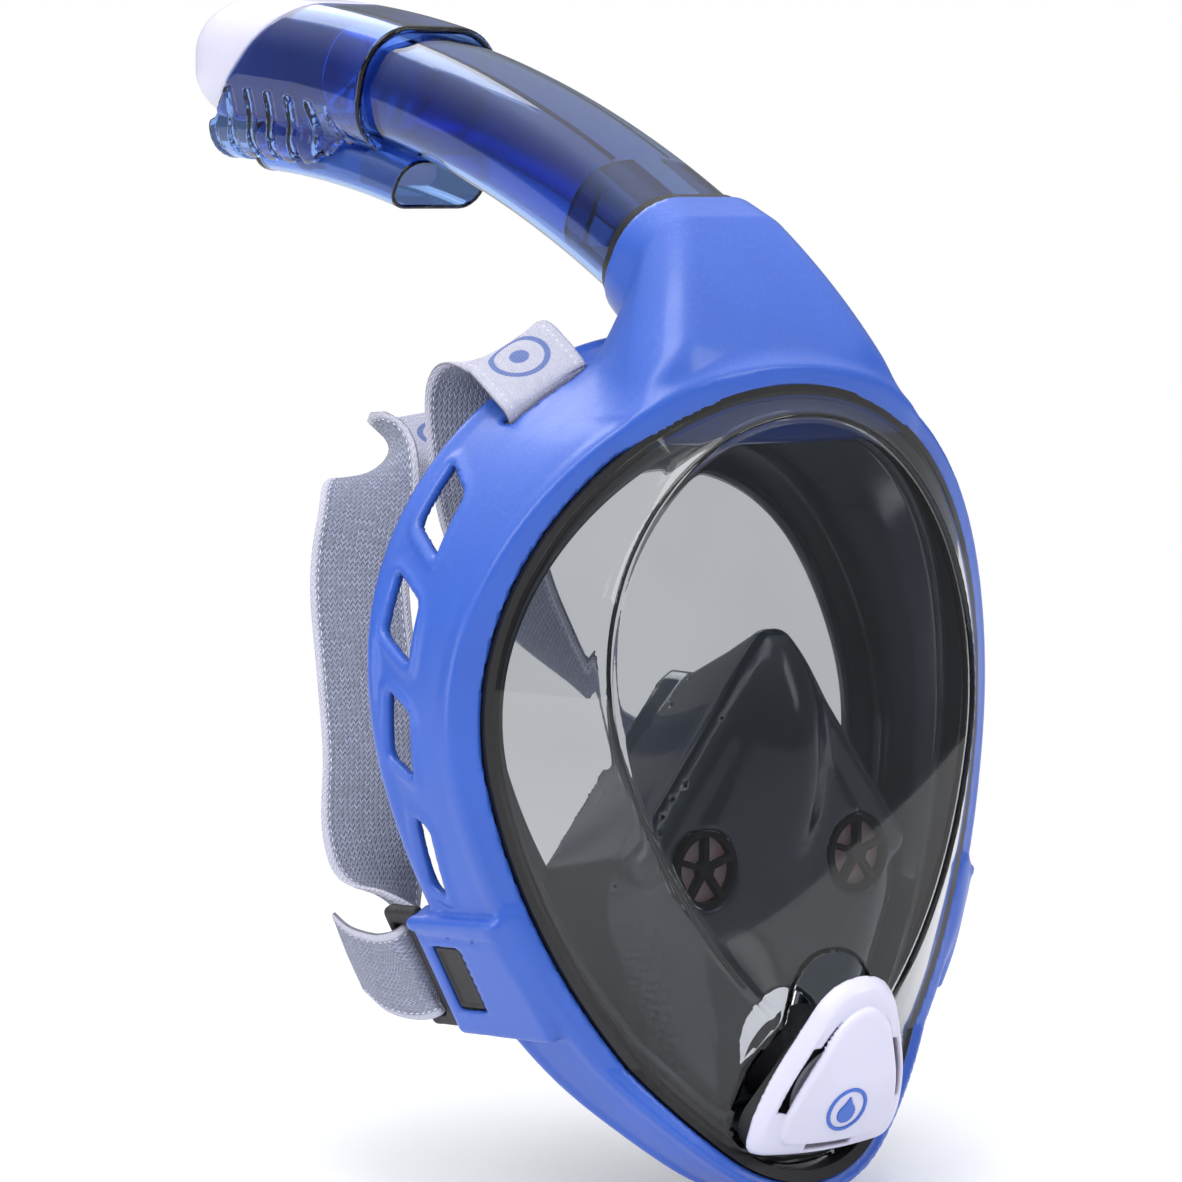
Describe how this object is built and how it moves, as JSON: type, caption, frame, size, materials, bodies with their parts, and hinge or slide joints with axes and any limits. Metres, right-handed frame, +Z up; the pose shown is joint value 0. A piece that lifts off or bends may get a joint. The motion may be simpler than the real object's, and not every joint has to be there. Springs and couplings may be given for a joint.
{
  "type": "full-face snorkel mask",
  "caption": "Full-face snorkel mask with smoked panoramic lens, nose pocket, chin purge valve, pull-off dry-top snorkel and crossed elastic head straps.",
  "frame": {"origin": "centre of the face opening, on the wearer's mid-plane, level with the rear of the frame", "axes": "+Z up the face, +Y from the lens towards the back of the head, +X to the wearer's left"},
  "size_m": [0.199, 0.296, 0.3344],
  "materials": {
    "frame_blue": "satin-gloss moulded blue",
    "black_plastic": "matt black moulding",
    "smoke_lens": "smoked transparent polycarbonate",
    "black_rubber": "black seal",
    "skirt_silicone": "dark blue-grey silicone, slightly translucent",
    "valve_silicone": "thin milky silicone",
    "white_plastic": "lavender-white moulding",
    "clear_blue": "transparent blue",
    "smoke_connector": "smoke blue-grey, transparent",
    "deep_blue": "deep transparent blue",
    "strap_webbing": "light grey heather knitted elastic"
  },
  "bodies": {
    "mask": {"frame": "frame_blue", "rear_retaining_ring": "black_plastic", "visor": "smoke_lens", "visor_gasket": "black_rubber", "face_skirt": "skirt_silicone", "nose_pocket": "skirt_silicone", "inlet_valve_seat_left": "black_plastic", "inlet_valve_seat_right": "black_plastic", "purge_seat": "black_plastic", "purge_cover": "white_plastic", "socket_manifold": "black_plastic", "strap_clip_left": "black_plastic", "strap_clip_right": "black_plastic", "head_strap_a": "strap_webbing", "head_strap_b": "strap_webbing"},
    "snorkel": {"snorkel_tube": "clear_blue", "tube_channel_walls": "clear_blue", "tube_connector": "smoke_connector", "connector_seal": "black_rubber", "connector_orings": "black_rubber", "dry_top_sleeve": "deep_blue", "dry_top_cap": "white_plastic", "float_chamber": "clear_blue", "mouth_seat": "white_plastic"},
    "dry_top_float": {"float": "white_plastic", "float_seal": "valve_silicone"},
    "purge_flap": {"purge_flap": "valve_silicone"},
    "inlet_flap_left": {"inlet_valve_flap_left": "valve_silicone"},
    "inlet_flap_right": {"inlet_valve_flap_right": "valve_silicone"},
    "exhale_flap_left": {"exhale_flap_left": "valve_silicone"},
    "exhale_flap_right": {"exhale_flap_right": "valve_silicone"},
    "latch_left": {"clip_latch_left": "black_plastic"},
    "latch_right": {"clip_latch_right": "black_plastic"}
  },
  "joints": [
    {"name": "snorkel_pull", "type": "slide", "parent": "mask", "child": "snorkel", "axis": [0, 0.866, 0.5], "range_m": [0, 0.03]},
    {"name": "float_rise", "type": "slide", "parent": "snorkel", "child": "dry_top_float", "axis": [0, 0.978, 0.2084], "range_m": [0, 0.011]},
    {"name": "purge_flap_lift", "type": "slide", "parent": "mask", "child": "purge_flap", "axis": [0, -0.9298, -0.3681], "range_m": [0, 0.0015], "stiffness_N_per_m": 60, "springref_m": -0.0008},
    {"name": "inlet_flap_left_lift", "type": "slide", "parent": "mask", "child": "inlet_flap_left", "axis": [0, 1, 0], "range_m": [0, 0.0015], "stiffness_N_per_m": 60, "springref_m": -0.0008},
    {"name": "inlet_flap_right_lift", "type": "slide", "parent": "mask", "child": "inlet_flap_right", "axis": [0, 1, 0], "range_m": [0, 0.0015], "stiffness_N_per_m": 60, "springref_m": -0.0008},
    {"name": "exhale_flap_left_lift", "type": "slide", "parent": "mask", "child": "exhale_flap_left", "axis": [0, 0.866, 0.5], "range_m": [0, 0.0015], "stiffness_N_per_m": 60, "springref_m": -0.0008},
    {"name": "exhale_flap_right_lift", "type": "slide", "parent": "mask", "child": "exhale_flap_right", "axis": [0, 0.866, 0.5], "range_m": [0, 0.0015], "stiffness_N_per_m": 60, "springref_m": -0.0008},
    {"name": "latch_left_press", "type": "slide", "parent": "mask", "child": "latch_left", "axis": [-0.88, 0.106, 0.463], "range_m": [0, 0.0015], "stiffness_N_per_m": 900, "springref_m": -0.0004},
    {"name": "latch_right_press", "type": "slide", "parent": "mask", "child": "latch_right", "axis": [0.88, 0.106, 0.463], "range_m": [0, 0.0015], "stiffness_N_per_m": 900, "springref_m": -0.0004}
  ]
}
